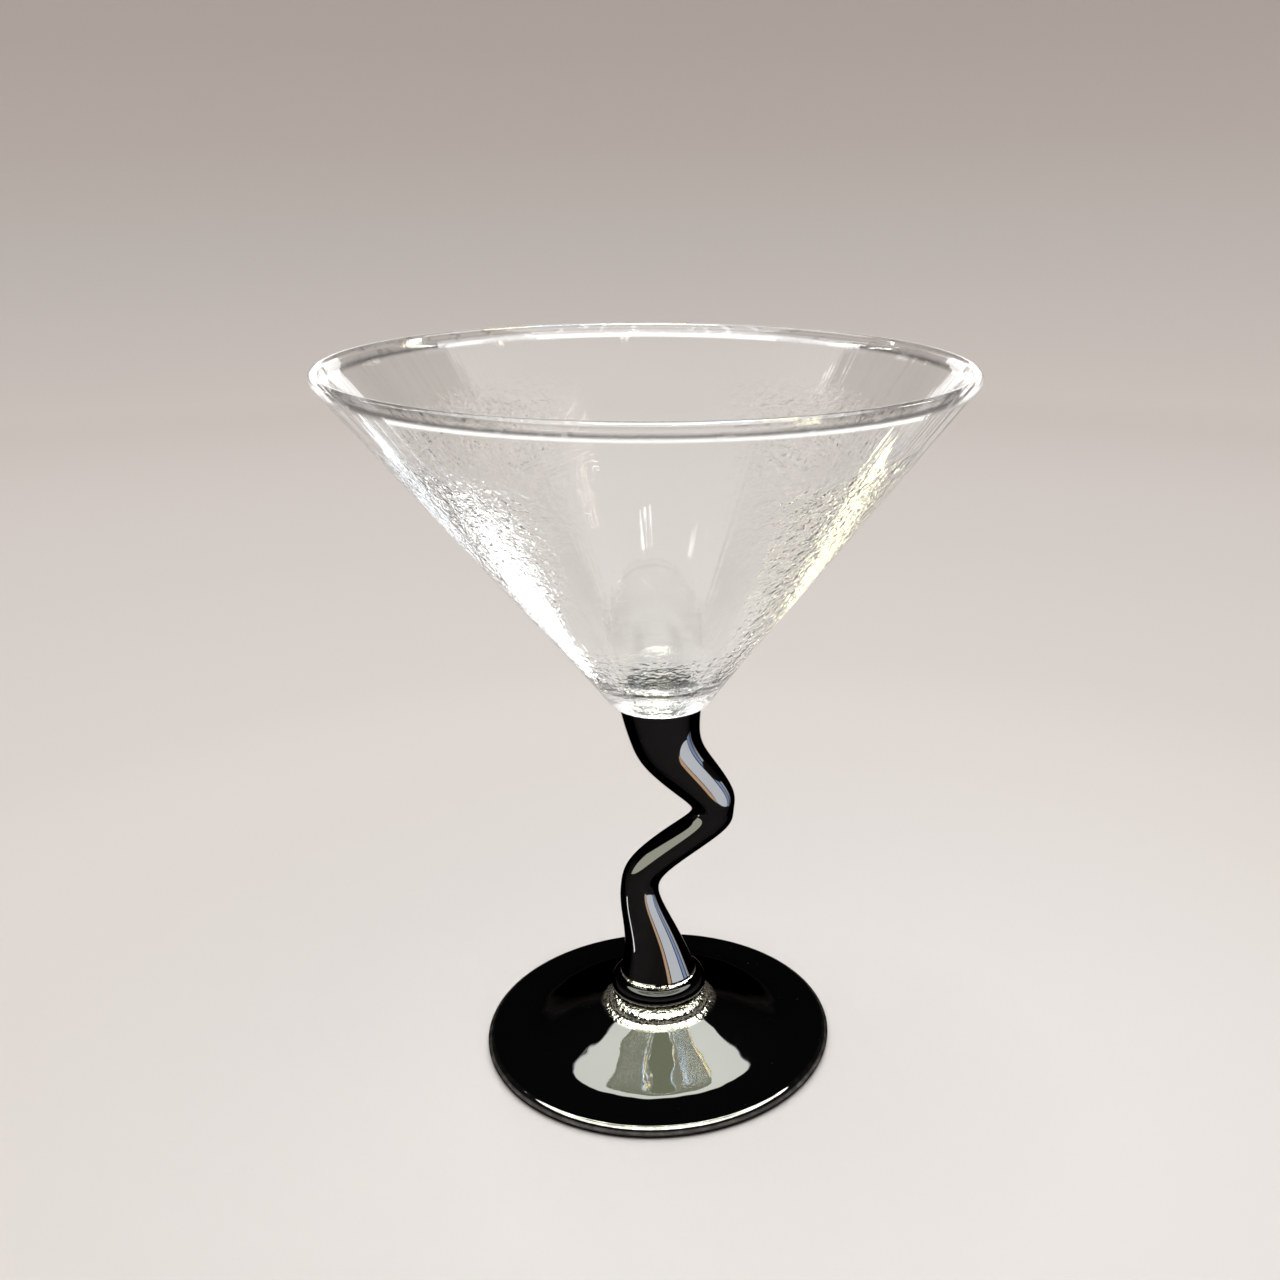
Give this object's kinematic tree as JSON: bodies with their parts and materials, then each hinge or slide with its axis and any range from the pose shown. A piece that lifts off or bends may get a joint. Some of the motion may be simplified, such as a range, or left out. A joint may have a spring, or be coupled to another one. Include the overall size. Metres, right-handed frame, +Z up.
{
  "type": "martini glass",
  "caption": "Martini glass with a wide conical clear bowl on a thick base, a zigzag black glass stem, a rounded weld collar and a trumpet-shaped black foot.",
  "frame": {"origin": "centre of the ring that the foot stands on, on the table surface", "axes": "+Z up through the rim; the stem's zigzag lies in the XZ plane, its upper bend towards +X and its lower bend towards -X; the front is towards -Y"},
  "size_m": [0.116, 0.116, 0.1379],
  "materials": {
    "clear_glass": "clear, fire polished",
    "black_glass": "opaque black, high gloss"
  },
  "bodies": {
    "root": {"bowl": "clear_glass", "stem": "black_glass", "collar": "black_glass", "foot": "black_glass"}
  },
  "joints": []
}
